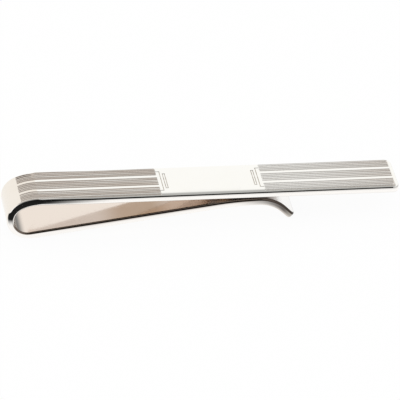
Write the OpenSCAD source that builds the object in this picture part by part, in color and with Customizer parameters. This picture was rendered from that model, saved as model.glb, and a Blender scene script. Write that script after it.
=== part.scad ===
// Tie clip: one strip of polished metal folded back on itself.
// The bar lies along X with its front face up at z = 0. The bow that folds the strip is at -X,
// and the tie goes in from +X, between the bar and the springy leaf under it.
// The origin is the centre of the name plate's face.

/* [Strip] */
// Width of the strip, across the bar
strip_w = 7.6; // [5:0.1:9]
// Thickness of the strip
strip_t = 1; // [0.6:0.05:1.4]
// Radius that softens the strip's four long edges
edge_r = 0.22; // [0.06:0.02:0.28]
// Radius of the two corners at each free end, seen from above
corner_r = 1; // [0.5:0.1:1.8]

/* [Bar] */
// Length of the blank name plate
plate_l = 14.6; // [8:0.2:22]
// Length of the straight lined panel between the bow and the name plate
bow_panel_l = 17.2; // [8:0.2:26]
// Length of the lined panel between the name plate and the open end
open_panel_l = 19.1; // [8:0.1:26]
// Plain margin between the ends of the lines and the open end
end_margin = 0.5; // [0.1:0.1:1.5]

/* [Bevel] */
// Width of the bevel along the bar's two long edges and its open end
bevel_w = 0.6; // [0.3:0.05:0.9]
// Depth of the bevel at the cut edges
bevel_d = 0.15; // [0.05:0.05:0.3]
// Length next to the bow over which the bevels of the long edges run out
bevel_run_out = 7.5; // [3:0.5:12]

/* [Engraved lines] */
// Least distance from one line to the next
line_pitch = 0.4; // [0.34:0.01:0.7]
// Width of a line at the face
line_w = 0.3; // [0.1:0.02:0.32]
// Depth of a line
line_d = 0.1; // [0.02:0.01:0.16]
// Width of each polished stripe between two lined bands
stripe_w = 0.45; // [0.2:0.05:0.8]
// Distance between the centre lines of the two polished stripes
stripe_gap = 2.6; // [1.6:0.1:3.4]

/* [Name plate frames] */
// Width of an engraved frame line
frame_line_w = 0.1; // [0.06:0.01:0.16]
// Depth of an engraved frame line
frame_line_d = 0.05; // [0.02:0.01:0.1]
// Height across the bar of the tall outer frame
tall_frame_h = 5.2; // [3.6:0.1:6]
// Reach along the bar of the tall outer frame
tall_frame_l = 0.56; // [0.4:0.02:1.2]
// Height across the bar of the short inner frame
short_frame_h = 4; // [2:0.1:5]
// Reach along the bar of the short inner frame
short_frame_l = 0.44; // [0.3:0.02:1]
// Gap between the tall frame and the short one
frame_gap = 0.25; // [0.18:0.01:0.6]

/* [Bow] */
// Outer radius of the bow's upper part, where the strip leaves the bar
bow_high_r = 5.9; // [4:0.1:8]
// Outer radius of the bow's lower part
bow_low_r = 3; // [2.2:0.1:4]
// Angle that the upper part turns through
bow_turn = 28.5; // [10:0.1:60]
// Share of that angle that carries the engraved lines
bow_lines_share = 0.88; // [0.2:0.02:0.98]

/* [Leaf] */
// Gap between the bar and the crest of the leaf, with no tie in the clip
crest_gap = 0.3; // [0.2:0.05:2]
// Distance along the bar from its open end back to the crest
crest_from_end = 19.8; // [6:0.2:24]
// Radius of the leaf's upper face where it levels out below the crest
crest_r = 45; // [15:1:80]
// Radius of the upper face of the lip
lip_r = 5.5; // [2:0.1:10]
// Angle that the lip turns down through
lip_angle = 44.5; // [20:0.5:70]
// Length of the lip's straight end
lip_end_l = 1.9; // [0.8:0.1:5]

/* [Hidden] */
$fn = 144;

half_w = strip_w / 2;
// flat steps that make each softened edge and each rounded corner
round_steps = 4;
// how far a cut runs past the face that it cuts
overrun = 0.5;

// where the bar ends and the bow starts, and where the bar stops at the open end
bar_start = -plate_l / 2 - bow_panel_l;
bar_end = plate_l / 2 + open_panel_l;
bar_l = bar_end - bar_start;

// the bevel's section, from its inner edge at [0, 0] to past the cut edge
bevel_out = bevel_w + overrun;
bevel_profile = [
    [0, 0],
    [bevel_out, -bevel_out * bevel_d / bevel_w],
    [bevel_out, overrun],
    [0, overrun],
];
// turn and tilt of the plane in which a long edge's bevel runs out
run_out_yaw = atan2(bevel_w, bevel_run_out);
run_out_tilt = atan2(bevel_d * norm([bevel_run_out, bevel_w]), bevel_w * bevel_run_out);

// centres of the bow's two arcs, as [x, z]
high_centre = [bar_start, -bow_high_r];
low_centre = high_centre + (bow_high_r - bow_low_r) * [-sin(bow_turn), cos(bow_turn)];
lines_turn = bow_turn * bow_lines_share;

// the leaf's upper face is the tangent from under the bow's inner face to over the crest's arc
inner_low_r = bow_low_r - strip_t;
crest = [bar_end - crest_from_end, -strip_t - crest_gap];
crest_centre = crest - [0, crest_r];
centre_line = crest_centre - low_centre;
radii = inner_low_r + crest_r;
leaf_rise = atan2(centre_line[1], centre_line[0]) + asin(radii / norm(centre_line));
leaf_l = sqrt(pow(norm(centre_line), 2) - pow(radii, 2));
leaf_end = crest_centre + crest_r * [-sin(leaf_rise), cos(leaf_rise)];

// the lip's arc and its straight end
lip_centre = crest - [0, lip_r];
lip_end_start = lip_centre + lip_r * [sin(lip_angle), cos(lip_angle)];

// lined bands across the bar, each as [middle, width]
middle_band = [0, stripe_gap - stripe_w];
side_band_inner = (stripe_gap + stripe_w) / 2;
side_band_outer = half_w - edge_r;
side_band = [(side_band_inner + side_band_outer) / 2, side_band_outer - side_band_inner];

// middles of the lines that fill one band evenly
function band_lines(band) =
    let (count = floor(band[1] / line_pitch))
    [for (i = [0:1:count - 1]) band[0] + (i + 0.5) * band[1] / count - band[1] / 2];

lined = concat(
    band_lines([-side_band[0], side_band[1]]),
    band_lines(middle_band),
    band_lines(side_band)
);
plain = [];

// points round one softened edge whose centre is at [y, z]
function soft_edge(y, z, from) = [
    for (i = [0:round_steps])
        let (a = from + i * 90 / round_steps)
        [y + edge_r * cos(a), z + edge_r * sin(a)]
];

// outline of the strip's section, as [y, z] with its outer face at z = 0 and a notch at each line
function section(lines) = concat(
    soft_edge(-half_w + edge_r, -strip_t + edge_r, 180),
    soft_edge(half_w - edge_r, -strip_t + edge_r, 270),
    soft_edge(half_w - edge_r, -edge_r, 0),
    [
        for (i = [len(lines) - 1:-1:0])
            each [[lines[i] + line_w / 2, 0], [lines[i], -line_d], [lines[i] - line_w / 2, 0]]
    ],
    soft_edge(-half_w + edge_r, -edge_r, 90)
);

// a straight stretch of strip along +X from the YZ plane
module straight_strip(length, lines) {
    rotate([90, 0, 90]) linear_extrude(length) polygon(section(lines));
}

// the section moved out to a bend's larger radius, ready to be turned round the bend's centre
module bend_section(outer_r, lines) {
    polygon([for (p = section(lines)) [outer_r + p[1], p[0]]]);
}

// a stretch of strip from the YZ plane along +X that bends down, where outer_r is its face's radius
module bent_strip(outer_r, turn, lines) {
    translate([0, 0, -outer_r])
        rotate([90, 0, 0])
            rotate([0, 0, 90])
                mirror([0, 1, 0])
                    rotate_extrude(angle = turn) bend_section(outer_r, lines);
}

// what is cut away to bevel the bar's two long edges
// each cut keeps above a tilted plane, which lets the bevel run out next to the bow
module long_edge_bevels() {
    for (side = [-1, 1])
        scale([1, side, 1])
            translate([bar_start + bevel_run_out, half_w - bevel_w, 0])
                intersection() {
                    translate([-bevel_run_out, 0, 0])
                        rotate([90, 0, 90])
                            linear_extrude(bar_l + overrun) polygon(bevel_profile);
                    rotate([-run_out_tilt, 0, -run_out_yaw])
                        translate([-bar_l, 0, 0]) cube([3 * bar_l, bar_l, bar_l]);
                }
}

// what is cut away to bevel the bar's open end
module open_end_bevel() {
    translate([bar_end - bevel_w, half_w + overrun, 0])
        rotate([90, 0, 0]) linear_extrude(strip_w + 2 * overrun) polygon(bevel_profile);
}

// what is cut away to round the two corners of a free end at x
module corner_cuts(x) {
    for (side = [-1, 1])
        scale([1, side, 1])
            translate([x - corner_r, half_w - corner_r, -strip_t - overrun])
                linear_extrude(strip_t + 2 * overrun)
                    polygon(concat(
                        [for (i = [0:round_steps])
                            corner_r * [sin(i * 90 / round_steps), cos(i * 90 / round_steps)]],
                        [
                            [corner_r + overrun, 0],
                            [corner_r + overrun, corner_r + overrun],
                            [0, corner_r + overrun],
                        ]
                    ));
}

// the outline of an engraved frame, from x = 0 along -X
module frame_line(length, height) {
    translate([-length, -height / 2, -frame_line_d])
        linear_extrude(frame_line_d + overrun)
            difference() {
                square([length, height]);
                translate([frame_line_w, frame_line_w])
                    square([length - 2 * frame_line_w, height - 2 * frame_line_w]);
            }
}

// lined panel between the bow and the name plate
module bow_side_panel() {
    color("silver")
        difference() {
            translate([bar_start, 0, 0]) straight_strip(bow_panel_l, lined);
            long_edge_bevels();
        }
}

// blank plate with a pair of stepped frames engraved at each end
module name_plate() {
    color("ivory")
        difference() {
            translate([-plate_l / 2, 0, 0]) straight_strip(plate_l, plain);
            long_edge_bevels();
            for (end = [0, 180]) rotate([0, 0, end]) translate([plate_l / 2, 0, 0]) {
                // the tall frame is open towards the panel: its last line falls past the plate
                translate([frame_line_w, 0, 0])
                    frame_line(tall_frame_l + frame_line_w, tall_frame_h);
                translate([-tall_frame_l - frame_gap, 0, 0])
                    frame_line(short_frame_l, short_frame_h);
            }
        }
}

// lined panel between the name plate and the open end, with a plain margin and rounded corners
module open_end_panel() {
    color("silver")
        difference() {
            union() {
                translate([plate_l / 2, 0, 0])
                    straight_strip(open_panel_l - end_margin, lined);
                translate([bar_end - end_margin, 0, 0])
                    straight_strip(end_margin, plain);
            }
            long_edge_bevels();
            open_end_bevel();
            corner_cuts(bar_end);
        }
}

// the bend that joins bar and leaf and lets them spring apart, drawn from where its two arcs meet
module spring_bow() {
    color("gainsboro")
        translate([high_centre[0], 0, high_centre[1]])
            rotate([90, 0, 0])
                rotate([0, 0, 90 + bow_turn]) {
                    mirror([0, 1, 0]) {
                        rotate_extrude(angle = bow_turn - lines_turn)
                            bend_section(bow_high_r, plain);
                        rotate([0, 0, bow_turn - lines_turn])
                            rotate_extrude(angle = lines_turn)
                                bend_section(bow_high_r, lined);
                    }
                    translate([bow_high_r - bow_low_r, 0, 0])
                        rotate_extrude(angle = 180 + leaf_rise - bow_turn)
                            bend_section(bow_low_r, plain);
                }
}

// the leaf that presses the tie against the back of the bar, drawn from where it starts to level out
module spring_leaf() {
    color("lightgray")
        translate([leaf_end[0], 0, leaf_end[1]])
            rotate([0, -leaf_rise, 0]) {
                mirror([1, 0, 0]) straight_strip(leaf_l, plain);
                bent_strip(crest_r, leaf_rise, plain);
            }
}

// the turned-down end that leads the tie in under the bar, drawn from where its bend stops
module lead_in_lip() {
    color("silver")
        translate([lip_end_start[0], 0, lip_end_start[1]])
            rotate([0, lip_angle, 0]) {
                mirror([1, 0, 0]) bent_strip(lip_r, lip_angle, plain);
                difference() {
                    straight_strip(lip_end_l, plain);
                    corner_cuts(lip_end_l);
                }
            }
}

bow_side_panel();
name_plate();
open_end_panel();
spring_bow();
spring_leaf();
lead_in_lip();
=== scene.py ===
"""A slide-on tie clip: one strip of silver, engraved while flat, then folded and laid on a table.

Every piece is a stretch of that one strip, and one rule folds them all. While it is still flat, a
point of the strip has three coordinates: "along" runs down its outer face from the open end of
the bar, "across" runs over its width, and "height" is 0 on the outer face and minus the thickness
on the inner one. All sizes are in metres.
"""

import logging
import math
import random
from dataclasses import dataclass
from enum import Enum, IntEnum
from typing import Callable, Optional, Union

import bmesh
import bpy
from mathutils import Matrix, Vector
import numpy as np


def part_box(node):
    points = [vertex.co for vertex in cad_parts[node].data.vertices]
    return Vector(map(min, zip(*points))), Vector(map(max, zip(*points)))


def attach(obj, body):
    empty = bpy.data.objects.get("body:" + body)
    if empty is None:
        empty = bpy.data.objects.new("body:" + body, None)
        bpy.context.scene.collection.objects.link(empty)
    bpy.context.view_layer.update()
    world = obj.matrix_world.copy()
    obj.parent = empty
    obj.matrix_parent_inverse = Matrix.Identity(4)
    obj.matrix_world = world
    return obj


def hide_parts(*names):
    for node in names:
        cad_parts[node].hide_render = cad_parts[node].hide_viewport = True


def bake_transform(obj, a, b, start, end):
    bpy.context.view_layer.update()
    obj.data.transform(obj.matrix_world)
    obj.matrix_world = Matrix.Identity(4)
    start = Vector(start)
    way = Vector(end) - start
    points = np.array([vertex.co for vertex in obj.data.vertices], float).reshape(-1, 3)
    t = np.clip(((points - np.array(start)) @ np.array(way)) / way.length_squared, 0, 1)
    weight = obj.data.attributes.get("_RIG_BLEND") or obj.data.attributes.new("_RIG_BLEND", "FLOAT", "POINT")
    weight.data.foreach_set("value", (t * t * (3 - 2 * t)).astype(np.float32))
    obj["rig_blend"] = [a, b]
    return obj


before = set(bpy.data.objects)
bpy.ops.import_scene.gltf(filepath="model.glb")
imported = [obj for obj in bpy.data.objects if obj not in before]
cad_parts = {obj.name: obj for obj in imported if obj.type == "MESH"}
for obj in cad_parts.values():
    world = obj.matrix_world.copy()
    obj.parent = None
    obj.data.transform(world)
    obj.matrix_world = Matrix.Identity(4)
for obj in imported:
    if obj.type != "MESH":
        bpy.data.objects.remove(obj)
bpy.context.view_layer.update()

MM = 0.001
LOG = logging.getLogger("tie_clip")

Number = Union[int, float]
Colour = tuple[float, float, float]
Pair = tuple[float, float]


def math_method(operation: str, swapped: bool = False) -> Callable[..., "Value"]:
    """A method that adds one Math node on a value and, where the operation takes it, on another.

    Args:
        operation: the node's operation.
        swapped: whether the other one goes first.

    Returns:
        The method.
    """

    def apply(self: "Value", *others: "Source") -> "Value":
        """The result of the operation."""
        values = (*others, self) if swapped else (self, *others)
        return self.graph.node("ShaderNodeMath", dict(enumerate(values)), operation=operation)

    return apply


class Value:
    """One output of a node. Sums written on it become Math nodes of its tree."""

    __add__ = math_method("ADD")
    __radd__ = math_method("ADD", swapped=True)
    __sub__ = math_method("SUBTRACT")
    __rsub__ = math_method("SUBTRACT", swapped=True)
    __mul__ = math_method("MULTIPLY")
    __rmul__ = math_method("MULTIPLY", swapped=True)
    __truediv__ = math_method("DIVIDE")
    __pow__ = math_method("POWER")
    __abs__ = math_method("ABSOLUTE")
    least = math_method("MINIMUM")
    most = math_method("MAXIMUM")
    sign = math_method("SIGN")
    sine = math_method("SINE")
    cosine = math_method("COSINE")

    def __init__(self, graph: "Graph", socket: Optional[bpy.types.NodeSocket]) -> None:
        """Remember the tree and the socket."""
        self.graph = graph
        self.socket = socket

    def output(self, name: str) -> "Value":
        """Another output of the same node, by name."""
        return Value(self.graph, self.socket.node.outputs[name])

    def share(self, start: "Source", end: "Source") -> "Value":
        """How far this has gone from start to end, kept within 0 and 1."""
        ends = {"From Min": start, "From Max": end}
        return self.graph.node("ShaderNodeMapRange", {"Value": self, **ends}, clamp=True)

    def ease(self, start: "Source", end: "Source") -> "Value":
        """As share(), but with a soft start and a soft end."""
        way = self.share(start, end)
        return way * way * (3 - 2 * way)


Source = Union[Number, Value]
Tone = Union[Colour, Value]
Layer = tuple[Value, Tone]


class Graph:
    """A node tree of any kind, and the one method that adds nodes to it."""

    def __init__(self, tree: bpy.types.NodeTree) -> None:
        """Remember the tree."""
        self.tree = tree

    def node(
        self,
        kind: str,
        inputs: Optional[dict] = None,
        output: Union[int, str] = 0,
        **settings: object,
    ) -> Value:
        """Add one node.

        Args:
            kind: the node's type.
            inputs: what goes into its sockets, by name or place: a value, a number or a list.
            output: the output to return, by name or place.
            settings: its own properties, which are set before anything is linked.

        Returns:
            The asked output, from which the node's other outputs can be reached.
        """
        node = self.tree.nodes.new(kind)
        for name, setting in settings.items():
            setattr(node, name, setting)
        for key, source in (inputs or {}).items():
            for one in source if isinstance(source, list) else [source]:
                self._feed(node.inputs[key], one)
        return Value(self, node.outputs[output] if node.outputs else None)

    def _feed(self, socket: bpy.types.NodeSocket, source: object) -> None:
        """Link a value into a socket, or set the socket to it.

        Args:
            socket: the socket.
            source: a value, a number, a colour or anything else that it takes.
        """
        if isinstance(source, Value):
            self.tree.links.new(source.socket, socket)
        elif socket.type == "RGBA":
            socket.default_value = (*source, 1)
        else:
            socket.default_value = source

    def vector(self, x: Source, y: Source, z: Source) -> Value:
        """A vector from its three parts."""
        return self.node("ShaderNodeCombineXYZ", {"X": x, "Y": y, "Z": z})

    def tint(self, factor: Source, first: Tone, second: Tone) -> Value:
        """A colour between two others."""
        inputs = {0: factor, 6: first, 7: second}
        return self.node("ShaderNodeMix", inputs, 2, data_type="RGBA", clamp_factor=True)

    def cloud(self, vector: Value, scale: float, detail: float = 2.0) -> Value:
        """Soft noise of about 0 to 1 with features about 1 / scale wide."""
        inputs = {"Vector": vector, "Scale": scale, "Detail": detail}
        return self.node("ShaderNodeTexNoise", inputs, noise_dimensions="3D")


def cleared(owner: Union[bpy.types.Material, bpy.types.World]) -> Graph:
    """The graph of a material or a world, with nothing in it yet.

    Args:
        owner: the material or the world.

    Returns:
        Its graph.
    """
    owner.use_nodes = True
    owner.node_tree.nodes.clear()
    return Graph(owner.node_tree)


def linked(name: str, data: bpy.types.ID) -> bpy.types.Object:
    """A new object in the scene, with the given data.

    Args:
        name: the object's name.
        data: its mesh or its lens.

    Returns:
        The object.
    """
    thing = bpy.data.objects.new(name, data)
    bpy.context.scene.collection.objects.link(thing)
    return thing


class Knot(IntEnum):
    """The ends of the strip's path and where its stretches meet, numbered by how many lie before."""

    OPEN_END = 0
    BOW_START = 1
    LOW_ARC_START = 2
    LEAF_START = 3
    CREST_START = 4
    LIP_START = 5
    LIP_FLAT = 6
    TIP = 7


@dataclass(frozen=True)
class Stretch:
    """One stretch of the strip's path, measured along its outer face."""

    length: float
    turn: float = 0.0
    lean: float = 0.0
    window: float = 0.5 * MM


@dataclass(frozen=True)
class Span:
    """The part of the strip that one piece takes, and how it is swept."""

    start: float
    end: float
    steps: int
    start_is_free: bool = False
    end_is_free: bool = False
    lines: Pair = (0.0, 0.0)


@dataclass
class StripSizes:
    """Sizes of the strip in metres, from the frame where its boxes hold them."""

    width: float
    thickness: float
    bar_start: float
    bar_end: float
    plate_half: float
    edge_radius: float = 0.22 * MM
    inner_edge_radius: float = 0.30 * MM
    bar_inner_edge_share: float = 0.20
    corner_radius: float = 1.0 * MM
    end_margin: float = 0.5 * MM
    bevel_width: float = 0.6 * MM
    bevel_depth: float = 0.15 * MM
    bevel_run_out: float = 7.5 * MM
    line_pitch: float = 0.4 * MM
    line_width: float = 0.3 * MM
    line_depth: float = 0.1 * MM
    line_run_out: float = 0.14 * MM
    stripe_width: float = 0.45 * MM
    stripe_gap: float = 2.6 * MM
    bow_high_radius: float = 5.9 * MM
    bow_low_radius: float = 3.0 * MM
    bow_turn: float = math.radians(28.5)
    bow_lines_share: float = 0.88
    crest_gap: float = 0.3 * MM
    crest_from_end: float = 19.8 * MM
    crest_radius: float = 45 * MM
    lip_radius: float = 5.5 * MM
    lip_turn: float = math.radians(44.5)
    lip_end: float = 1.9 * MM
    bow_lean: float = 0.36
    lip_lean: float = 0.20
    lip_window: float = 1.6 * MM

    @classmethod
    def from_frame(cls) -> "StripSizes":
        """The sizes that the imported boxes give, with the others as written above.

        Returns:
            The sizes.
        """
        plate_low, plate_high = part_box("name_plate")
        return cls(
            width=plate_high.y - plate_low.y,
            thickness=plate_high.z - plate_low.z,
            bar_start=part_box("bow_side_panel")[0].x,
            bar_end=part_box("open_end_panel")[1].x,
            plate_half=plate_high.x,
        )

    @property
    def half(self) -> float:
        """Half of the strip's width."""
        return self.width / 2

    @property
    def flat_half(self) -> float:
        """Half of the width between the two softened edges."""
        return self.half - self.edge_radius

    @property
    def rim_half(self) -> float:
        """Half of the width of the flat face, between the two bevels."""
        return self.half - self.bevel_width

    def low_centre(self) -> Vector:
        """The centre of the bow's lower arc.

        Returns:
            Its X and Z.
        """
        arm = self.bow_high_radius - self.bow_low_radius
        across = self.bar_start - arm * math.sin(self.bow_turn)
        return Vector((across, arm * math.cos(self.bow_turn) - self.bow_high_radius))

    def crest(self) -> Vector:
        """The crest of the leaf's upper face, as X and Z."""
        return Vector((self.bar_end - self.crest_from_end, -self.thickness - self.crest_gap))

    def leaf(self) -> tuple[float, float]:
        """The leaf's straight run, tangent to the bow below it and to the crest's bend above.

        Returns:
            Its rise in radians and its length.
        """
        way = self.crest() - Vector((0, self.crest_radius)) - self.low_centre()
        radii = self.bow_low_radius - self.thickness + self.crest_radius
        rise = math.atan2(way.y, way.x) + math.asin(radii / way.length)
        return rise, math.sqrt(way.length_squared - radii**2)

    def table_tilt(self) -> float:
        """The slope of the table, which touches the bow and the lower corner of the lip's end.

        Returns:
            The slope in radians, rising towards the open end.
        """
        face_radius = self.lip_radius - self.thickness
        outward = Vector((math.sin(self.lip_turn), math.cos(self.lip_turn)))
        onward = Vector((math.cos(self.lip_turn), -math.sin(self.lip_turn)))
        tip = self.crest() - Vector((0, self.lip_radius)) + face_radius * outward + self.lip_end * onward
        way = tip - self.low_centre()
        return math.atan2(way.y, way.x) + math.asin(self.bow_low_radius / way.length)

    def path(self) -> list[Stretch]:
        """The strip's stretches, from the open end of the bar to the tip of the lip.

        Returns:
            The stretches in order.
        """
        rise, leaf_length = self.leaf()
        low_turn = math.pi + rise - self.bow_turn
        crest_face = self.crest_radius - self.thickness
        lip_face = self.lip_radius - self.thickness
        return [
            Stretch(self.bar_end - self.bar_start),
            Stretch(self.bow_high_radius * self.bow_turn, self.bow_turn, self.bow_lean),
            Stretch(self.bow_low_radius * low_turn, low_turn, self.bow_lean),
            Stretch(leaf_length),
            Stretch(crest_face * rise, -rise),
            Stretch(lip_face * self.lip_turn, -self.lip_turn, -self.lip_lean, self.lip_window),
            Stretch(self.lip_end),
        ]

    def reach(self, knot: Knot) -> float:
        """The length along the strip at which a knot lies."""
        return sum(stretch.length for stretch in self.path()[:knot])

    def line_middles(self) -> list[float]:
        """The places across the strip where lines are cut, in three bands.

        Returns:
            The places, measured from the strip's middle line.
        """
        middle = self.stripe_gap - self.stripe_width
        inner = (self.stripe_gap + self.stripe_width) / 2
        side = self.flat_half - inner
        places = []
        for centre, width in ((-inner - side / 2, side), (0.0, middle), (inner + side / 2, side)):
            count = int(width / self.line_pitch)
            places += [centre + (i + 0.5) * width / count - width / 2 for i in range(count)]
        return places


class Face(Enum):
    """What the strip's outer face carries over one piece."""

    PLAIN = "plain"
    LINED = "lined"


class Body(Enum):
    """The two halves of the clip, which spring apart."""

    BAR = "bar"
    LEAF = "leaf"


@dataclass(frozen=True)
class SectionOutline:
    """The strip's section as a closed ring of edges, ready to be swept."""

    sizes: StripSizes
    face: Face
    fillet_steps: int = 8
    support: float = 0.02 * MM
    seed: int = 7
    depth_jitter: float = 0.18
    width_jitter: float = 0.10

    def _fillet(self, side: int, face: float, radius: float) -> list[tuple[float, float, float]]:
        """Points of one softened edge, from the flat face out to the cut edge.

        Args:
            side: -1 or 1, the side of the strip.
            face: the height of the flat face.
            radius: the edge's radius, negative on the inner face, whose edges turn upwards.

        Returns:
            The points.
        """
        points = []
        for i in range(self.fillet_steps + 1):
            angle = i / self.fillet_steps * math.pi / 2
            across = side * (self.sizes.half - abs(radius) * (1 - math.sin(angle)))
            points.append((across, face - radius * (1 - math.cos(angle)), 0.0))
        return points

    def _lines(self) -> list[tuple[float, float, float]]:
        """Three points for each line, from -Y to +Y: its two edges and the bottom of the cut.

        Returns:
            Each point as across, height and the depth of the cut there.
        """
        if self.face is Face.PLAIN:
            return []
        chance = random.Random(self.seed)
        points = []
        for middle in self.sizes.line_middles():
            half = self.sizes.line_width / 2 * (1 + self.width_jitter * chance.uniform(-1, 1))
            depth = self.sizes.line_depth * (1 + self.depth_jitter * chance.uniform(-1, 1))
            points += [(middle - half, 0.0, 0.0), (middle, 0.0, depth), (middle + half, 0.0, 0.0)]
        return points

    def points(self) -> list[tuple[float, float, float]]:
        """The ring's points in order.

        Returns:
            Each point as across, height and the depth of the cut there.
        """
        half, outer, inner = self.sizes.half, self.sizes.edge_radius, self.sizes.inner_edge_radius
        rim, shoulder, bottom = self.sizes.rim_half, half - outer - self.support, -self.sizes.thickness
        high, low = -outer - self.support, bottom + inner + self.support
        foot = half - inner - self.support
        ring = sorted([(place, 0.0, 0.0) for place in (-shoulder, -rim, rim, shoulder)] + self._lines())
        ring += self._fillet(1, 0.0, outer)
        ring += [(half, high, 0.0), (half, low, 0.0)]
        ring += reversed(self._fillet(1, bottom, -inner))
        ring += [(place, bottom, 0.0) for place in (foot, rim, -rim, -foot)]
        ring += self._fillet(-1, bottom, -inner)
        ring += [(-half, low, 0.0), (-half, high, 0.0)]
        ring += reversed(self._fillet(-1, 0.0, outer))
        return ring

    def mesh(self) -> bpy.types.Mesh:
        """The ring as edges that carry its coordinates as attributes.

        Returns:
            The mesh, which has no faces.
        """
        points = self.points()
        edges = [(i, (i + 1) % len(points)) for i in range(len(points))]
        mesh = bpy.data.meshes.new(f"section_{self.face.value}")
        mesh.from_pydata([(across, height, 0) for across, height, _ in points], edges, [])
        for place, name in enumerate(("across", "height", "cut")):
            attribute = mesh.attributes.new(name, "FLOAT", "POINT")
            attribute.data.foreach_set("value", [point[place] for point in points])
        return mesh


class StripTree:
    """The tree that sweeps a section over one span of the strip and folds it into place."""

    lean_pivot_shift = 0.25
    squeeze_power = 4
    tolerance = 0.001 * MM
    tiny_angle = 1e-4
    bevel_depth_shares = (0.7, 0.3)

    def __init__(self, sizes: StripSizes) -> None:
        """Build the tree, with a named input for every size that it reads.

        Args:
            sizes: the strip's sizes.
        """
        self.sizes = sizes
        self.graph = Graph(bpy.data.node_groups.new("folded_strip", "GeometryNodeTree"))
        self.identifiers: dict[str, str] = {}
        self._make_sockets(self._defaults())
        self.inputs = self.graph.node("NodeGroupInput")
        self._build()

    def _defaults(self) -> dict[str, Number]:
        """The value of every input on the real clip.

        Returns:
            The values, by the names of the inputs.
        """
        sizes = self.sizes
        values: dict[str, Number] = {
            "Span Start": 0.0,
            "Span End": 1.0 * MM,
            "Steps": 1,
            "Start Nose Steps": 0,
            "End Nose Steps": 0,
            "Lines Start": 0.0,
            "Lines End": 0.0,
            "Lines Run Out": sizes.line_run_out,
            "Line Depth": sizes.line_depth,
            "Half Width": sizes.half,
            "Thickness": sizes.thickness,
            "Edge Radius": sizes.edge_radius,
            "Inner Edge Radius": sizes.inner_edge_radius,
            "Bar Inner Edge Share": sizes.bar_inner_edge_share,
            "Corner Radius": sizes.corner_radius,
            "Bevel Width": sizes.bevel_width,
            "Bevel Depth": sizes.bevel_depth,
            "Bevel Full": sizes.bar_end - sizes.bar_start - sizes.bevel_run_out,
            "Bevel Gone": sizes.bar_end - sizes.bar_start,
            "Open End X": sizes.bar_end,
        }
        for place, stretch in enumerate(sizes.path()):
            values[f"Length {place}"] = stretch.length
            values[f"Turn {place}"] = stretch.turn
            values[f"Lean {place}"] = stretch.lean
        return values

    def _make_sockets(self, defaults: dict[str, Number]) -> None:
        """Give the tree its inputs and its output.

        Args:
            defaults: the inputs' values, by their names.
        """
        face = self.graph.tree.interface
        face.new_socket("Geometry", in_out="OUTPUT", socket_type="NodeSocketGeometry")
        face.new_socket("Section", in_out="INPUT", socket_type="NodeSocketGeometry")
        face.new_socket("Finish", in_out="INPUT", socket_type="NodeSocketMaterial")
        for name, value in defaults.items():
            kind = "NodeSocketInt" if isinstance(value, int) else "NodeSocketFloat"
            face.new_socket(name, in_out="INPUT", socket_type=kind).default_value = value
        for item in face.items_tree:
            if item.in_out == "INPUT":
                self.identifiers[item.name] = item.identifier

    def _read(self, name: str) -> Value:
        """The value of a named attribute."""
        return self.graph.node("GeometryNodeInputNamedAttribute", {"Name": name}, data_type="FLOAT")

    def _store(self, geometry: Value, name: str, value: Value) -> Value:
        """Keep a value on the points of a geometry.

        Args:
            geometry: the geometry.
            name: the name to keep it under.
            value: the value.

        Returns:
            The geometry with the value on it.
        """
        inputs = {"Geometry": geometry, "Name": name, "Value": value}
        kind = "GeometryNodeStoreNamedAttribute"
        return self.graph.node(kind, inputs, data_type="FLOAT", domain="POINT")

    def _stations(self) -> Value:
        """The sweep's stations. At a free end the last ones turn round the corners instead of going on.

        Returns:
            A curve whose points hold "station", "nose" and "squeeze".
        """
        size = self.inputs.output
        before, steps, after = size("Start Nose Steps"), size("Steps"), size("End Nose Steps")
        line = self.graph.node(
            "GeometryNodeMeshLine",
            {"Count": before + steps + after + 1},
            mode="OFFSET",
        )
        index = self.graph.node("GeometryNodeInputIndex")
        core = size("Corner Radius") - size("Bevel Width")
        way = (index - before).share(0, steps)
        back = (before - index).share(0, before.most(1)) * (math.pi / 2)
        ahead = (index - before - steps).share(0, after.most(1)) * (math.pi / 2)
        nose = ahead.sine() - back.sine()
        place = size("Span Start") + way * (size("Span End") - size("Span Start"))
        line = self._store(line, "station", place + core * nose)
        line = self._store(line, "nose", nose)
        line = self._store(line, "squeeze", core * (1 - (back + ahead).cosine()))
        return self.graph.node("GeometryNodeMeshToCurve", {"Mesh": line})

    def _fold(self, along: Value) -> tuple[Value, Value, Value]:
        """The path of the folded strip's outer face.

        Args:
            along: the length along it.

        Returns:
            The X and Z there, and the heading in radians.
        """
        size = self.inputs.output
        x, z = size("Open End X"), 0.0
        heading, start = math.pi, 0.0
        for place in range(len(self.sizes.path())):
            length, turn = size(f"Length {place}"), size(f"Turn {place}")
            gone = (along - start).most(0).least(length)
            half_turn = gone / length * turn / 2
            bulk = abs(half_turn).most(self.tiny_angle)
            chord = gone * bulk.sine() / bulk
            x = x + chord * (half_turn + heading).cosine()
            z = chord * (half_turn + heading).sine() + z
            heading = half_turn * 2 + heading
            start = length + start
        return x, z, heading

    def _lean(self, along: Value) -> Value:
        """How far the cut edges lean, because a hard bend spreads the strip's inner side.

        Args:
            along: the length along the strip.

        Returns:
            The slope of the lean, 0 where the edge stands upright.
        """
        size = self.inputs.output
        lean, start = 0.0, 0.0
        for place, stretch in enumerate(self.sizes.path()):
            end = size(f"Length {place}") + start
            entering = (along - start).ease(-stretch.window, stretch.window)
            leaving = (along - end).ease(-stretch.window, stretch.window)
            lean = (entering - leaving) * size(f"Lean {place}") + lean
            start = end
        return lean

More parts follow.
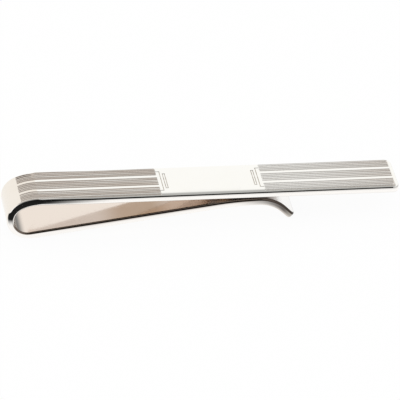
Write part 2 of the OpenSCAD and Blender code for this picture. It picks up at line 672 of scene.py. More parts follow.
    def _inner_edge(self, spread: Value, height: Value) -> Value:
        """The share of the inner edge's roundness that a point keeps: less on the bar, then all.

        Args:
            spread: the distance from the strip's middle line.
            height: the height there.

        Returns:
            The share, which is 1 away from the inner edge.
        """
        size, near = self.inputs.output, (-2 * self.tolerance, -self.tolerance)
        radius = size("Inner Edge Radius")
        on_edge = (spread - size("Half Width") + radius).share(*near)
        on_edge = on_edge * (radius - size("Thickness") - height).share(*near)
        bar = 1 - self._read("station").share(size("Bevel Full"), size("Bevel Gone"))
        return 1 - on_edge * bar * (1 - size("Bar Inner Edge Share"))

    def _bevel(self, along: Value) -> Value:
        """How far the bevel lowers a point. It narrows to nothing as the bar nears the bow.

        Args:
            along: the length along the strip.

        Returns:
            The drop in metres.
        """
        size = self.inputs.output
        width = size("Bevel Width") * (1 - along.share(size("Bevel Full"), size("Bevel Gone")))
        spread = (abs(self._read("across")) - size("Half Width") + width).most(0)
        start, end = (size("Thickness") * -share for share in self.bevel_depth_shares)
        outer = self._read("height").share(start, end)
        return outer * spread * size("Bevel Depth") / size("Bevel Width")

    def _build(self) -> None:
        """Wire the tree: sweep, engrave, bevel, round the free ends, lean the edges, fold, finish."""
        graph, size = self.graph, self.inputs.output
        outline = graph.node("GeometryNodeMeshToCurve", {"Mesh": size("Section")})
        swept = {"Curve": self._stations(), "Profile Curve": outline, "Fill Caps": True}
        strip = graph.node("GeometryNodeCurveToMesh", swept)

        half, rim = size("Half Width"), size("Half Width") - size("Bevel Width")
        across, height, nose = self._read("across"), self._read("height"), self._read("nose")
        keep = self._inner_edge(abs(across), height)
        spread = half - (half - abs(across)) * keep
        within, beyond = spread.least(rim), (spread - rim).most(0)
        along = self._read("station") + nose * beyond
        squeeze = self._read("squeeze") * (within / rim) ** self.squeeze_power
        width = within - squeeze + beyond * (1 - nose * nose).most(0) ** 0.5

        run_out = size("Lines Run Out")
        lines = (along - size("Lines Start")).ease(0, run_out)
        lines = lines * (size("Lines End") - along).ease(0, run_out)
        cut = self._read("cut") * lines
        height = (height + size("Thickness")) * keep - size("Thickness") - cut - self._bevel(along)
        lean = self._lean(along)
        pivot = size("Thickness") * (0.5 + self.lean_pivot_shift * lean.sign())
        width = width * (1 - lean * (height + pivot) / half)

        x, z, heading = self._fold(along)
        place = graph.vector(
            x + height * heading.sine(), width * across.sign(), z - height * heading.cosine()
        )
        strip = graph.node("GeometryNodeSetPosition", {"Geometry": strip, "Position": place})
        marks = {
            "strip_along": along,
            "strip_edge": 1 - (half - spread) / size("Edge Radius"),
            "strip_cut": cut / size("Line Depth"),
            "strip_across": across,
            "strip_lined": lines,
            "strip_depth": (0 - height) / size("Thickness"),
        }
        for name, value in marks.items():
            strip = self._store(strip, name, value)
        strip = graph.node("GeometryNodeRealizeInstances", {"Geometry": strip})
        dressed = {"Geometry": strip, "Material": size("Finish")}
        strip = graph.node("GeometryNodeSetMaterial", dressed)
        graph.node("NodeGroupOutput", {"Geometry": strip})


@dataclass(frozen=True)
class FrameLines:
    """The pair of stepped frames that are engraved at each end of the name plate."""

    line_width: float = 0.15 * MM
    line_depth: float = 0.07 * MM
    tall_height: float = 5.2 * MM
    tall_length: float = 0.56 * MM
    short_height: float = 4.0 * MM
    short_length: float = 0.44 * MM
    gap: float = 0.25 * MM

    def _frame(self, graph: Graph, outer: float, length: float, height: float) -> Value:
        """The cutter for one frame: a diamond section swept round a rectangle.

        Args:
            graph: the tree to build in.
            outer: X of the frame's outer side.
            length: its reach along the bar.
            height: its height across the bar.

        Returns:
            The cutter's mesh.
        """
        kind = "GeometryNodeCurvePrimitiveQuadrilateral"
        reach = {"Width": length - self.line_width, "Height": height - self.line_width}
        loop = graph.node(kind, reach, mode="RECTANGLE")
        mitred = self.line_width * math.sqrt(2) / 2
        corners = ((mitred, 0, 0), (0, self.line_depth, 0), (-mitred, 0, 0), (0, -self.line_depth, 0))
        points = {f"Point {i + 1}": corner for i, corner in enumerate(corners)}
        diamond = graph.node(kind, points, mode="POINTS")
        swept = {"Curve": loop, "Profile Curve": diamond, "Fill Caps": False}
        cutter = graph.node("GeometryNodeCurveToMesh", swept)
        moved = {"Geometry": cutter, "Translation": (outer - length / 2, 0, 0)}
        return graph.node("GeometryNodeTransform", moved)

    def tree(self, plate_half: float) -> bpy.types.NodeTree:
        """A tree that cuts the frames into the plate at both of its ends.

        Args:
            plate_half: half of the plate's length.

        Returns:
            The tree, which takes the plate's mesh.
        """
        graph = Graph(bpy.data.node_groups.new("plate_frames", "GeometryNodeTree"))
        face = graph.tree.interface
        face.new_socket("Geometry", in_out="OUTPUT", socket_type="NodeSocketGeometry")
        face.new_socket("Geometry", in_out="INPUT", socket_type="NodeSocketGeometry")
        plate = graph.node("NodeGroupInput")
        tall_outer = plate_half + self.line_width
        tall = self._frame(graph, tall_outer, self.tall_length + self.line_width, self.tall_height)
        short_outer = plate_half - self.tall_length - self.gap
        short = self._frame(graph, short_outer, self.short_length, self.short_height)
        ends = graph.node("GeometryNodeMeshLine", {"Count": 2, "Offset": (0, 0, 0)}, mode="OFFSET")
        both = graph.node("GeometryNodeJoinGeometry", {"Geometry": [tall, short]})
        index = graph.node("GeometryNodeInputIndex")
        turn = graph.node("FunctionNodeEulerToRotation", {0: graph.vector(0, 0, index * math.pi)})
        placed = {"Points": ends, "Instance": both, "Rotation": turn}
        cutters = graph.node("GeometryNodeInstanceOnPoints", placed)
        cutters = graph.node("GeometryNodeRealizeInstances", {"Geometry": cutters})
        solids = {"Mesh 1": plate, "Mesh 2": cutters}
        cut = graph.node("GeometryNodeMeshBoolean", solids, operation="DIFFERENCE", solver="EXACT")
        graph.node("NodeGroupOutput", {"Geometry": cut})
        return graph.tree


class StripMaker:
    """Makes the clip's pieces out of spans of the strip."""

    nose_steps = 12
    sharp_angle = math.radians(24)
    making_attributes = ("across", "height", "cut", "station", "nose", "squeeze")
    tolerance = 1e-6
    rim_tolerance = 1e-4 * MM

    def __init__(self, sizes: StripSizes) -> None:
        """Draw the two sections and build the tree.

        Args:
            sizes: the strip's sizes.
        """
        self.sizes = sizes
        self.sections = {face: SectionOutline(sizes, face).mesh() for face in Face}
        self.tree = StripTree(sizes)

    def piece(self, name: str, span: Span, face: Face, finish: bpy.types.Material) -> bpy.types.Object:
        """Sweep, fold and close one piece.

        Args:
            name: the piece's name.
            span: the part of the strip that it takes.
            face: what its outer face carries.
            finish: its material.

        Returns:
            The piece, with its place in its mesh.
        """
        values = {
            "Finish": finish,
            "Span Start": span.start + self.sizes.corner_radius * span.start_is_free,
            "Span End": span.end - self.sizes.corner_radius * span.end_is_free,
            "Steps": span.steps,
            "Start Nose Steps": self.nose_steps * span.start_is_free,
            "End Nose Steps": self.nose_steps * span.end_is_free,
            "Lines Start": span.lines[0],
            "Lines End": span.lines[1],
        }
        piece = linked(name, self.sections[face].copy())
        inputs = {self.tree.identifiers[key]: value for key, value in values.items()}
        self.run_tree(piece, self.tree.graph.tree, inputs)
        self._close(piece.data)
        return piece

    @staticmethod
    def run_tree(piece: bpy.types.Object, tree: bpy.types.NodeTree, inputs: dict[str, object]) -> None:
        """Run a tree on a piece and keep the result as its plain mesh.

        Args:
            piece: the piece.
            tree: the tree.
            inputs: its inputs' values, by their identifiers.
        """
        modifier = piece.modifiers.new(tree.name, "NODES")
        modifier.node_group = tree
        for identifier, value in inputs.items():
            modifier[identifier] = value
        graph = bpy.context.evaluated_depsgraph_get()
        result = piece.evaluated_get(graph)
        mesh = bpy.data.meshes.new_from_object(result, preserve_all_data_layers=True, depsgraph=graph)
        piece.modifiers.remove(modifier)
        piece.data = mesh
        mesh.name = piece.name

    def _close(self, mesh: bpy.types.Mesh) -> None:
        """Close the free ends, turn the faces outwards and drop the attributes of the making.

        Args:
            mesh: the piece's mesh.
        """
        work = bmesh.new()
        work.from_mesh(mesh)
        for side in (-1, 1):
            self._close_nose(work, side)
        bmesh.ops.recalc_face_normals(work, faces=work.faces)
        work.to_mesh(mesh)
        work.free()
        for name in [attribute.name for attribute in mesh.attributes]:
            if name in self.making_attributes:
                mesh.attributes.remove(mesh.attributes[name])

    def _close_nose(self, work: bmesh.types.BMesh, side: int) -> None:
        """Replace the flat cap of one free end by the softened edge that crosses it.

        Args:
            work: the piece.
            side: -1 for the free end where the strip starts, 1 for the one where it ends.
        """
        layers = work.verts.layers.float
        nose, across, height = layers["nose"], layers["across"], layers["height"]
        rim = [vert for vert in work.verts if side * vert[nose] > 1 - self.tolerance]
        if not rim:
            return
        inside = set(rim)
        caps = [face for face in work.faces if all(vert in inside for vert in face.verts)]
        bmesh.ops.delete(work, geom=caps, context="FACES_ONLY")
        middle, flat = -self.sizes.thickness / 2, self.sizes.rim_half + self.rim_tolerance

        def order(vert: bmesh.types.BMVert) -> tuple[bool, float]:
            """The place of a point on its way round the edge, from the outer face to the inner one."""
            lower = vert[height] < middle
            return lower, (-1 if lower else 1) * abs(vert[across]) - vert[height]

        left = sorted((vert for vert in rim if vert[across] < -flat), key=order)
        right = sorted((vert for vert in rim if vert[across] > flat), key=order)
        between = sorted((v for v in rim if abs(v[across]) <= flat), key=lambda v: v[across])
        top = [vert for vert in between if vert[height] >= middle]
        bottom = [vert for vert in between if vert[height] < middle]
        work.faces.new([left[0], *top, right[0]])
        for i in range(len(left) - 1):
            work.faces.new([left[i], right[i], right[i + 1], left[i + 1]])
        work.faces.new([left[-1], right[-1], *reversed(bottom)])

    def smooth(self, piece: bpy.types.Object) -> None:
        """Shade a piece smoothly, with its true edges left sharp."""
        piece.data.shade_smooth()
        piece.data.set_sharp_from_angle(angle=self.sharp_angle)


@dataclass(frozen=True)
class Step:
    """A soft step along the strip, set out from a knot of its path."""

    knot: Knot
    start: float
    end: float


@dataclass(frozen=True)
class Zone:
    """The part of the strip where a tone shows: it comes over one step and goes over another."""

    comes: Step
    goes: Optional[Step] = None


@dataclass(frozen=True)
class Pattern:
    """Noise that runs with the strip, with the count of its features in a millimetre each way."""

    along: float
    across: float
    depth: float = 1.0
    slant: Pair = (0.0, 0.0)
    detail: float = 2.0
    contrast: Optional[Pair] = None


PAST_CREST = Step(Knot.LIP_START, 0, 2.5 * MM)


@dataclass(frozen=True)
class ToneZones:
    """Where along the strip its tones come and go."""

    # Where the lined bands take a painted highlight, over the part of the bar towards its open end.
    lines_painted_highlight: Zone = Zone(
        Step(Knot.OPEN_END, -6 * MM, 15 * MM),
        Step(Knot.OPEN_END, 20 * MM, 33 * MM),
    )
    # A brown band on the bar's inner face, 31.5 to 43 mm from the open end.
    bar_underside_brown: Zone = Zone(
        Step(Knot.OPEN_END, 31.5 * MM, 35.1 * MM),
        Step(Knot.OPEN_END, 38.5 * MM, 43 * MM),
    )
    past_bar: Zone = Zone(Step(Knot.BOW_START, 0, 3 * MM))
    # Where the painted shade along the top of the cut edges is lifted, over the bow.
    bow_side: Zone = Zone(Step(Knot.BOW_START, -2 * MM, 4 * MM), Step(Knot.LEAF_START, MM, 10 * MM))
    # Where the inner face in the bow's lower arc takes a near-black painted shade.
    bend: Zone = Zone(Step(Knot.LOW_ARC_START, 0, 2 * MM), Step(Knot.LEAF_START, -2.8 * MM, -0.7 * MM))
    # Where a dark painted shade runs along the inner edge, from the bow's lower arc on.
    inner_edge_painted_shade: Zone = Zone(Step(Knot.LOW_ARC_START, 3.2 * MM, 4.7 * MM))
    # Where the cut edges take the leaf's painted shade, which lies along their top, by the inner face.
    leaf_side: Zone = Zone(Step(Knot.LEAF_START, -MM, MM))
    # Where the leaf's inner face, at its crest under the bar, takes a brown painted shade.
    crest: Zone = Zone(Step(Knot.CREST_START, -2.5 * MM, 1.5 * MM), PAST_CREST)
    # Where that painted shade turns near black, towards the lip.
    crest_darkest_painted_shade: Zone = Zone(Step(Knot.CREST_START, MM, 2.5 * MM))
    # Where the lip's cut edge takes its own, darker painted shade along its top.
    lip_side: Zone = Zone(Step(Knot.CREST_START, 2 * MM, 10 * MM))
    # Where the painted shade along the inner edge turns near black, at the lip.
    lip_edge_painted_shade: Zone = Zone(Step(Knot.LIP_START, -2 * MM, 3 * MM))
    lip: Zone = Zone(PAST_CREST)
    dull_lip: Zone = Zone(PAST_CREST, Step(Knot.LIP_FLAT, -1.8 * MM, -0.2 * MM))
    # Where the painted shade on the lip's cut edge turns lighter, near the tip.
    tip_side: Zone = Zone(Step(Knot.LIP_FLAT, -0.3 * MM, 1.4 * MM))


@dataclass(frozen=True)
class SilverFinish:
    """Polished silver that has dulled on its inner side, between its lines and in its cuts, with painted
    shade on its cut edges, in the bow, along its inner edge and on the leaf's crest, and a painted highlight
    on part of its lines.

    Most pairs are the start and the end of a soft step: over the depth, where 0 is the outer face
    and 1 the inner one, over the softened edge, where 1 is the cut edge, or over a line's cut. The
    two pairs of shares are how much of a tone shows in the weakest streak and in the strongest.
    """

    name: str
    sizes: StripSizes
    zones: ToneZones = ToneZones()
    polished: Colour = (0.972, 0.960, 0.915)
    aged: Colour = (0.930, 0.895, 0.820)
    inner: Colour = (0.850, 0.755, 0.670)
    under: Colour = (0.720, 0.675, 0.650)
    # The brown of the band on the bar's inner face.
    bar_underside_brown: Colour = (0.545, 0.453, 0.373)
    ridge: Colour = (0.670, 0.605, 0.540)
    # Painted highlight on the ridges, over part of the bar.
    ridge_painted_highlight: Colour = (0.960, 0.940, 0.900)
    cut: Colour = (0.760, 0.655, 0.565)
    # Painted highlight in the cuts, over part of the bar.
    cut_painted_highlight: Colour = (0.990, 0.950, 0.880)
    # Cut edges: a near-polished tone on their lower part, and darker tones laid as painted shade along the
    # top of each edge on the bar, the leaf, the lip and near the tip.
    side: Colour = (0.985, 0.960, 0.925)
    side_top_painted_shade: Colour = (0.350, 0.335, 0.320)
    leaf_side_top_painted_shade: Colour = (0.500, 0.440, 0.400)
    lip_side: Colour = (0.900, 0.830, 0.770)
    lip_side_top_painted_shade: Colour = (0.130, 0.115, 0.105)
    tip_side_top_painted_shade: Colour = (0.420, 0.390, 0.350)
    # Painted shade: the dark line along the inner edge.
    inner_edge_painted_shade: Colour = (0.190, 0.150, 0.122)
    # Painted shade: near black, at the lip's inner edge and on the leaf's crest past its start.
    lip_edge_painted_shade: Colour = (0.065, 0.052, 0.043)
    # Painted shade: near black, on the inner face in the bow's lower arc.
    bend: Colour = (0.070, 0.070, 0.064)
    # Painted shade: brown, on the leaf's crest under the bar.
    crest: Colour = (0.560, 0.345, 0.205)
    lip: Colour = (0.940, 0.925, 0.905)
    aged_share: float = 0.25
    # How much the metal is lowered under the crest's painted shade, so that its brown shows.
    crest_painted_shade_mattness: float = 0.85
    lip_dullness: float = 0.5
    inner_depth: Pair = (0.90, 0.985)
    lines_depth: Pair = (0.3, 0.4)
    shade_depth: Pair = (0.05, 0.6)
    lip_shade_depth: Pair = (-0.1, 0.5)
    inner_edge_painted_shade_depth: Pair = (0.68, 0.76)
    side_edge: Pair = (0.5, 0.9)
    lip_side_edge: Pair = (0.3, 0.8)
    inner_edge_painted_shade_rim: Pair = (-0.35, 0.0)
    rub_comes_edge: Pair = (0.05, 0.4)
    rub_goes_edge: Pair = (0.6, 0.95)
    cut_depth: Pair = (0.05, 0.75)
    ridge_shares: Pair = (0.25, 1.20)
    cut_shares: Pair = (0.62, 1.12)
    stripe_blur: float = 0.03 * MM
    roughness: float = 0.07
    inner_roughness: float = 0.09
    ridge_roughness: float = 0.20
    cut_roughness: float = 0.34
    smudge_roughness: float = 0.05
    hairline_roughness: float = 0.06
    edge_wear: float = 0.10
    patches: Pattern = Pattern(0.35, 0.35, 0.35, detail=3, contrast=(0.35, 0.75))
    smudges: Pattern = Pattern(1.3, 1.3, 1.3, detail=4, contrast=(0.45, 0.75))
    drawing: Pattern = Pattern(0.25, 9, 9)
    streaks: Pattern = Pattern(0.07, 2.3, contrast=(0.32, 0.68))
    hairlines: Pattern = Pattern(1.02, 8.5, 8.5, slant=(0.85, -0.51), detail=1, contrast=(0.66, 0.74))
    waves: Pattern = Pattern(0.22, 0.30, detail=1)
    wave_height: float = 0.0015 * MM
    scratch_height: float = 0.00010 * MM

    def material(self) -> bpy.types.Material:
        """The finish as a node material that follows the strip's own coordinates.

        Returns:
            The material.
        """
        material = bpy.data.materials.new(self.name)
        SilverPaint(self, cleared(material)).build()
        return material


class SilverPaint:
    """Fills the tree of one silver finish from the marks that the strip's points carry."""

    def __init__(self, finish: SilverFinish, graph: Graph) -> None:
        """Read the marks, draw the patterns that are used twice and find the main places.

        Args:
            finish: the finish.
            graph: the graph to fill.
        """
        self.finish = finish
        self.graph = graph
        self.along, self.across, self.edge, cut, lined, self.depth = (
            graph.node("ShaderNodeAttribute", output="Fac", attribute_name=f"strip_{mark}")
            for mark in ("along", "across", "edge", "cut", "lined", "depth")
        )
        self.drawing = self._pattern(finish.drawing)
        self.hairlines = self._pattern(finish.hairlines)
        self.inner = self.depth.ease(*finish.inner_depth)
        # Mask of the painted shade on the leaf's crest under the bar.
        self.crest = self.inner * self._zone(finish.zones.crest)
        self.cut = cut.ease(*finish.cut_depth)
        self.ridge = self._off_stripes() * lined * (1 - self.depth.ease(*finish.lines_depth))

    def _pattern(self, pattern: Pattern) -> Value:
        """The noise of a pattern, with more contrast where the pattern asks for it.

        Args:
            pattern: the pattern.

        Returns:
            The noise, of about 0 to 1.
        """
        along, across = self.along / MM, self.across / MM
        sideways, back = pattern.slant
        x = along * pattern.along + across * sideways
        y = across * pattern.across + along * back
        place = self.graph.vector(x, y, self.depth * pattern.depth)
        noise = self.graph.cloud(place, 1.0, pattern.detail)
        return noise.ease(*pattern.contrast) if pattern.contrast else noise

    def _zone(self, zone: Zone) -> Value:
        """How far a point of the strip lies in a zone, from 0 to 1."""
        share = self._step(zone.comes)
        return share * (1 - self._step(zone.goes)) if zone.goes else share

    def _step(self, step: Step) -> Value:
        """How far a step has risen at a point of the strip, from 0 to 1."""
        knot = self.finish.sizes.reach(step.knot)
        return self.along.ease(knot + step.start, knot + step.end)

    def _off_stripes(self) -> Value:
        """1 on the lined bands, and 0 on the two polished stripes and on the softened edges.

        Returns:
            The share, from 0 to 1.
        """
        sizes, blur = self.finish.sizes, self.finish.stripe_blur
        gap, half, edge = sizes.stripe_gap / 2, sizes.stripe_width / 2, sizes.flat_half
        off_stripe = abs(abs(self.across) - gap).ease(half - blur, half + blur)
        return off_stripe * (1 - abs(self.across).ease(edge - blur, edge))

    def _sides(self) -> list[Layer]:
        """The tones of the cut edges, with a painted shade along the top of each edge that is darkest at the
        lip.

        Returns:
            Each tone with the place where it lies, in the order in which they are laid.
        """
        finish, zones, tint = self.finish, self.finish.zones, self.graph.tint
        on_leaf = self._zone(zones.leaf_side)
        below_top = self.depth + on_leaf * (1 - 2 * self.depth)
        # Painted shade: dark along the top of each cut edge, except over the bow.
        shade = (1 - below_top.ease(*finish.shade_depth)) * (1 - self._zone(zones.bow_side))
        high = tint(on_leaf, finish.side_top_painted_shade, finish.leaf_side_top_painted_shade)
        # Painted shade along the top of the lip's cut edge, lighter near the tip.
        lip_top_painted_shade = tint(self._zone(zones.tip_side), finish.lip_side_top_painted_shade, finish.tip_side_top_painted_shade)
        lip_shade = self.depth.ease(*finish.lip_shade_depth)
        on_lip = self.edge.ease(*finish.lip_side_edge) * self._zone(zones.lip_side)
        return [
            (self.edge.ease(*finish.side_edge), tint(shade, finish.side, high)),
            (on_lip, tint(lip_shade, finish.lip_side, lip_top_painted_shade)),
        ]

    def _inner_face(self) -> list[Layer]:
        """The tones of the inner face, from under the bar through the bow to the lip, with painted shade in
        the bow's lower arc, on the leaf's crest under the bar and along the inner edge.

        Returns:
            Each tone with the place where it lies, in the order in which they are laid.
        """
        finish, zones, tint = self.finish, self.finish.zones, self.graph.tint
        tone = tint(self._zone(zones.past_bar), finish.under, finish.inner)
        # A brown band on the bar's inner face, 31.5 to 43 mm from the open end.
        tone = tint(self._zone(zones.bar_underside_brown), tone, finish.bar_underside_brown)
        # Mask of the painted shade along the inner edge.
        on_edge = self.edge.ease(*finish.inner_edge_painted_shade_rim) * self.depth.ease(*finish.inner_edge_painted_shade_depth)
        return [
            (self.inner, tint(self._zone(zones.lip), tone, finish.lip)),
            # Painted shade, near black, on the inner face in the bow's lower arc.
            (self.inner * self._zone(zones.bend), finish.bend),
            # Painted shade on the leaf's crest under the bar, brown turning near black.
            (self.crest, tint(self._zone(zones.crest_darkest_painted_shade), finish.crest, finish.lip_edge_painted_shade)),
            # Painted shade along the inner edge, turning near black at the lip.
            (
                on_edge * self._zone(zones.inner_edge_painted_shade),
                tint(self._zone(zones.lip_edge_painted_shade), finish.inner_edge_painted_shade, finish.lip_edge_painted_shade),
            ),
        ]

    def _lines(self) -> list[Layer]:
        """The tones of the ridges and the cuts, in streaks along the strip, with a painted highlight over
        part of the bar.

        Returns:
            Each tone with the place where it lies, in the order in which they are laid.
        """
        finish = self.finish
        # Painted highlight on the lines over part of the bar.
        painted_highlight = self._zone(finish.zones.lines_painted_highlight)
        streaks = self._pattern(finish.streaks)
        return [
            (place * (low + (high - low) * streaks), self.graph.tint(painted_highlight, dim, light))
            for place, (low, high), dim, light in (
                (self.ridge, finish.ridge_shares, finish.ridge, finish.ridge_painted_highlight),
                (self.cut, finish.cut_shares, finish.cut, finish.cut_painted_highlight),
            )
        ]

    def _roughness(self) -> Value:
        """The roughness: more in the cuts and on the ridges, with smudges and rubbed edges.

        Returns:
            The roughness, from 0 to 1.
        """
        finish = self.finish
        roughness = finish.roughness + finish.smudge_roughness * self._pattern(finish.smudges)
        roughness = roughness + finish.hairline_roughness * self.hairlines
        for place, own in (
            (self.inner, finish.inner_roughness),
            (self.ridge, finish.ridge_roughness),
            (self.cut, finish.cut_roughness),
        ):
            roughness = roughness + place * (own - finish.roughness)
        rubbed = self.edge.ease(*finish.rub_comes_edge) * (1 - self.edge.ease(*finish.rub_goes_edge))
        return roughness + rubbed * finish.edge_wear * self.drawing

    def _bump(self) -> Value:
        """The relief: long waves of the polishing, drawing marks and hairline scratches.

        Returns:
            The normal that the relief gives.
        """
        finish = self.finish
        waves = self._pattern(finish.waves) * (finish.wave_height / MM)
        relief = waves + (self.drawing - self.hairlines) * (finish.scratch_height / MM)
        return self.graph.node("ShaderNodeBump", {"Height": relief, "Distance": MM, "Strength": 1})

    def build(self) -> None:
        """Wire the finish to its output, with each tone laid over those before it."""
        finish = self.finish
        patches = self._pattern(finish.patches) * finish.aged_share
        colour = self.graph.tint(patches, finish.polished, finish.aged)
        for place, tone in (*self._sides(), *self._inner_face(), *self._lines()):
            colour = self.graph.tint(place, colour, tone)
        dull_lip = self.inner * self._zone(finish.zones.dull_lip)
        # Less metal under the crest's painted shade, and on the duller inner face of the lip.
        inputs = {
            "Metallic": 1 - self.crest * finish.crest_painted_shade_mattness - dull_lip * finish.lip_dullness,
            "Base Color": colour,
            "Roughness": self._roughness(),
            "Normal": self._bump(),
        }
        surface = self.graph.node("ShaderNodeBsdfPrincipled", inputs)
        self.graph.node("ShaderNodeOutputMaterial", {"Surface": surface})


@dataclass
class Bar:
    """The front bar: two lined panels with the name plate between them."""

    maker: StripMaker
    lined: bpy.types.Material
    plate: bpy.types.Material
    frames: FrameLines = FrameLines()
    line_step: float = 0.12 * MM
    plate_steps: int = 4
    rim_margin: float = 0.01 * MM

    def build(self) -> list[bpy.types.Object]:
        """Make the three pieces and put them on their body.

        Returns:
            The pieces.
        """
        sizes = self.maker.sizes
        near, far = sizes.bar_end - sizes.plate_half, sizes.bar_end + sizes.plate_half
        end = sizes.reach(Knot.BOW_START)
        past = end + sizes.corner_radius
        open_span = Span(0, near, round(near / self.line_step), True, False, (sizes.end_margin, near))
        bow_span = Span(far, end, round((end - far) / self.line_step), False, False, (far, past))
        pieces = [
            self.maker.piece("open_end_panel_engraved", open_span, Face.LINED, self.lined),
            self._plate(Span(near, far, self.plate_steps)),
            self.maker.piece("bow_side_panel_engraved", bow_span, Face.LINED, self.lined),
        ]
        nodes = ("open_end_panel", "name_plate", "bow_side_panel")
        slots = ("lined_silver", "plate_silver", "lined_silver")
        for piece, node, slot in zip(pieces, nodes, slots):
            self.maker.smooth(piece)
            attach(piece, Body.BAR.value)
            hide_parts(node)
        return pieces

    def _plate(self, span: Span) -> bpy.types.Object:
        """The name plate with its frames cut in, and its attributes set again after the cutting.

        Args:
            span: the part of the strip that it takes.

        Returns:
            The plate.
        """
        sizes = self.maker.sizes
        plate = self.maker.piece("name_plate_framed", span, Face.PLAIN, self.plate)
        self.maker.run_tree(plate, self.frames.tree(sizes.plate_half), {})
        mesh = plate.data
        for vert in mesh.vertices:
            place, spread = vert.co, abs(vert.co.y)
            engraved = spread < sizes.rim_half - self.rim_margin and place.z > -sizes.thickness / 2
            values = {
                "strip_along": sizes.bar_end - place.x,
                "strip_edge": 1 - (sizes.half - spread) / sizes.edge_radius,
                "strip_depth": -place.z / sizes.thickness,
                "strip_cut": -place.z / self.frames.line_depth if engraved else 0.0,
                "strip_across": place.y,
                "strip_lined": 0.0,
            }
            for name, value in values.items():
                mesh.attributes[name].data[vert.index].value = value
        return plate


@dataclass
class Spring:
    """The bow, the leaf under the bar and the lip that leads the tie in."""

    maker: StripMaker
    finish: bpy.types.Material
    bow_steps: int = 190
    leaf_steps: int = 130
    lip_steps: int = 96
    bend_top_share: float = 0.14
    bend_bottom_share: float = 0.85

    def build(self) -> list[bpy.types.Object]:
        """Make the three pieces and put them on their bodies.

        Returns:
            The pieces.
        """
        sizes = self.maker.sizes
        knots = (Knot.BOW_START, Knot.LEAF_START, Knot.LIP_START, Knot.TIP)
        bar, bow, leaf, end = (sizes.reach(knot) for knot in knots)
        before = bar - sizes.corner_radius
        lines_end = bar + sizes.path()[Knot.BOW_START].length * sizes.bow_lines_share
        bow_span = Span(bar, bow, self.bow_steps, lines=(before, lines_end))
        lip_span = Span(leaf, end, self.lip_steps, end_is_free=True)
        bow_piece = self.maker.piece("spring_bow_bent", bow_span, Face.LINED, self.finish)
        leaf_piece = self.maker.piece(
            "spring_leaf_bent", Span(bow, leaf, self.leaf_steps), Face.PLAIN, self.finish
        )
        lip_piece = self.maker.piece("lead_in_lip_bent", lip_span, Face.PLAIN, self.finish)
        pieces = [bow_piece, leaf_piece, lip_piece]
        for piece, node in zip(pieces, ("spring_bow", "spring_leaf", "lead_in_lip")):
            self.maker.smooth(piece)
            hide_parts(node)
        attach(leaf_piece, Body.LEAF.value)
        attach(lip_piece, Body.LEAF.value)
        low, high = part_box("spring_bow")
        x, drop = sizes.low_centre().x, high.z - low.z
        start = (x, 0, high.z - drop * self.bend_top_share)
        end = (x, 0, high.z - drop * self.bend_bottom_share)
        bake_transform(bow_piece, Body.BAR.value, Body.LEAF.value, start=start, end=end)
        return pieces


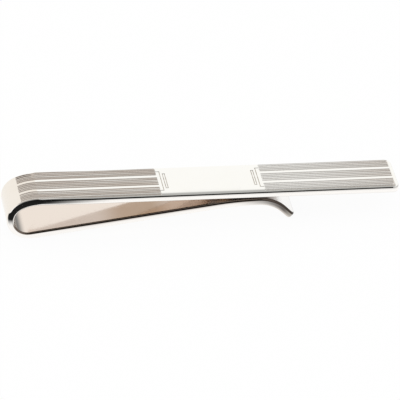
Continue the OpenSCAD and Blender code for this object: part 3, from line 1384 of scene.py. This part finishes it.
@dataclass
class Studio:
    """A white table in a white room, with a dimmer ceiling, a dark place round the lens and a painted shadow
    on the table to the front left of the bow, which only the metal mirrors.
    """

    sizes: StripSizes
    white: float = 1.0
    ceiling: float = 0.47
    ceiling_start: float = math.radians(42)
    ceiling_end: float = math.radians(56)
    dark: float = 0.014
    dark_yaw: float = math.radians(10.57)
    dark_half_width: float = math.radians(34)
    dark_top: float = math.radians(56)
    softness: float = math.radians(6)
    table_reach: float = 1.5
    table_glow_share: float = 0.94
    table_colour: Colour = (0.96, 0.96, 0.96)
    straight_up: float = 1e-6
    grain_scale: float = 400
    grain_detail: float = 3
    grain_contrast: Pair = (0.3, 0.7)
    grain_share: float = 0.02
    # A painted shadow on the table, seen only in the metal: where its edge lies, how it turns and how soft
    # it is.
    painted_shadow_edge: Pair = (-31 * MM, -6.5 * MM)
    painted_shadow_yaw: float = math.radians(21.4)
    painted_shadow_fade: Pair = (-3.0 * MM, 1.5 * MM)

    def build(self) -> None:
        """Make the room and the table."""
        self._room()
        self._table()

    def _room(self) -> None:
        """The room: white for the camera, with its darker places only in what the metal mirrors."""
        world = bpy.data.worlds.new("room")
        world.cycles.sampling_method = "NONE"
        bpy.context.scene.world = world
        graph = cleared(world)
        direction = graph.node("ShaderNodeTexCoord", output="Generated")
        split = graph.node("ShaderNodeSeparateXYZ", {"Vector": direction}, "X")
        x, y, z = split, split.output("Y"), split.output("Z")
        ceiling = z.ease(math.sin(self.ceiling_start), math.sin(self.ceiling_end))
        level = (x * x + y * y).most(self.straight_up) ** 0.5
        toward = (0 - x * math.sin(self.dark_yaw) - y * math.cos(self.dark_yaw)) / level
        inner = math.cos(self.dark_half_width - self.softness)
        front = toward.ease(math.cos(self.dark_half_width + self.softness), inner)
        top = z.ease(math.sin(self.dark_top - self.softness), math.sin(self.dark_top + self.softness))
        front = front * (1 - top)
        strength = self.white - (self.white - self.ceiling) * ceiling
        strength = strength - front * (strength - self.dark)
        ray = graph.node("ShaderNodeLightPath", output="Is Glossy Ray")
        strength = self.white + ray * (strength - self.white)
        glow = graph.node("ShaderNodeBackground", {"Color": (1, 1, 1), "Strength": strength})
        graph.node("ShaderNodeOutputWorld", {"Surface": glow})

    def _table(self) -> None:
        """The table, which tilts a little because the row frame keeps the bar level, not the table."""
        tilt = self.sizes.table_tilt()
        down = Vector((math.sin(tilt), 0, -math.cos(tilt)))
        centre = self.sizes.low_centre()
        touch = Vector((centre.x, 0, centre.y)) + self.sizes.bow_low_radius * down
        onward = Vector((math.cos(tilt), 0, math.sin(tilt))) * self.table_reach
        aside = Vector((0, self.table_reach, 0))
        corners = [touch + onward * i + aside * j for i, j in ((-1, -1), (1, -1), (1, 1), (-1, 1))]
        mesh = bpy.data.meshes.new("table")
        mesh.from_pydata([tuple(corner) for corner in corners], [], [(0, 1, 2, 3)])
        table = linked("table", mesh)
        mesh.materials.append(self._table_material())

    def _table_material(self) -> bpy.types.Material:
        """Matt white with a glow of its own, a painted shadow to the front left of the bow that shows only
        in the metal, and clear from below.

        Returns:
            The material.
        """
        material = bpy.data.materials.new("table_white")
        graph = cleared(material)
        place = graph.node("ShaderNodeTexCoord", output="Object")
        grain = graph.cloud(place, self.grain_scale, self.grain_detail).ease(*self.grain_contrast)
        colour = graph.tint(grain * self.grain_share, self.table_colour, (1, 1, 1))
        paint = graph.node("ShaderNodeBsdfDiffuse", {"Color": colour})
        split = graph.node("ShaderNodeSeparateXYZ", {"Vector": place}, "X")
        # Painted shadow: in what the metal mirrors, the table goes dark to the front left of the bow.
        right, back = split - self.painted_shadow_edge[0], split.output("Y") - self.painted_shadow_edge[1]
        clear_of_painted_shadow = (right * math.sin(self.painted_shadow_yaw) + back * math.cos(self.painted_shadow_yaw)).ease(*self.painted_shadow_fade)
        path = graph.node("ShaderNodeLightPath", output="Is Camera Ray")
        mirrored = path.output("Is Glossy Ray")
        painted_shadow = mirrored * (1 - clear_of_painted_shadow)
        strength = 1 - painted_shadow * (1 - self.dark)
        glow = graph.node("ShaderNodeEmission", {"Color": (1, 1, 1), "Strength": strength})
        seen = path.most(mirrored).most(path.output("Is Transmission Ray"))
        mixed = {0: (seen * self.table_glow_share).most(painted_shadow), 1: paint, 2: glow}
        surface = graph.node("ShaderNodeMixShader", mixed)
        below = graph.node("ShaderNodeNewGeometry", output="Backfacing")
        clear = graph.node("ShaderNodeBsdfTransparent")
        surface = graph.node("ShaderNodeMixShader", {0: below, 1: surface, 2: clear})
        graph.node("ShaderNodeOutputMaterial", {"Surface": surface})
        return material


@dataclass(frozen=True)
class PhotoView:
    """A long lens that looks down on the clip from its left, as fitted to the bar's edges and ends."""

    elevation: float = math.radians(31)
    yaw: float = math.radians(10.57)
    roll: float = math.radians(3.26)
    lens_mm: float = 468
    sensor_mm: float = 36
    distance: float = 726.9 * MM
    aim: tuple[float, float, float] = (-0.996 * MM, 0.0, 0.0)
    right_offset: float = 0.366 * MM
    up_offset: float = 2.889 * MM
    nearest: float = 10 * MM

    def build(self) -> None:
        """Make the camera and look through it."""
        lens = bpy.data.cameras.new("photo_view")
        lens.lens = self.lens_mm
        lens.sensor_width = self.sensor_mm
        lens.clip_start = self.nearest
        camera = linked("photo_view", lens)
        level = math.cos(self.elevation)
        rise = math.sin(self.elevation)
        back = Vector((-math.sin(self.yaw) * level, -math.cos(self.yaw) * level, rise))
        right = Vector((math.cos(self.yaw), -math.sin(self.yaw), 0))
        up = back.cross(right)
        right, up = (
            right * math.cos(self.roll) + up * math.sin(self.roll),
            up * math.cos(self.roll) - right * math.sin(self.roll),
        )
        place = Vector(self.aim) + self.distance * back - self.right_offset * right - self.up_offset * up
        turn = Matrix((right, up, back)).transposed().to_4x4()
        camera.matrix_world = Matrix.Translation(place) @ turn
        bpy.context.scene.camera = camera


def main() -> None:
    """Build the clip, the studio and the camera."""
    logging.basicConfig(level=logging.INFO, format="%(name)s: %(message)s")
    sizes = StripSizes.from_frame()
    maker = StripMaker(sizes)
    lined = SilverFinish("silver_engraved", sizes).material()
    frame_cut = (0.52, 0.47, 0.40)
    # The plate's frame cuts keep one tone, without the painted highlight of the lines.
    plate = SilverFinish("silver_plate", sizes, cut=frame_cut, cut_painted_highlight=frame_cut, aged_share=0.1)
    strip = SilverFinish("silver_strip", sizes, polished=(0.89, 0.83, 0.75), aged=(0.85, 0.77, 0.67))
    for assembly in (Bar(maker, lined, plate.material()), Spring(maker, strip.material())):
        for piece in assembly.build():
            LOG.info("%s: %d faces", piece.name, len(piece.data.polygons))
    Studio(sizes).build()
    PhotoView().build()
    bpy.context.scene.view_settings.view_transform = "Standard"


if __name__ == "__main__":
    main()
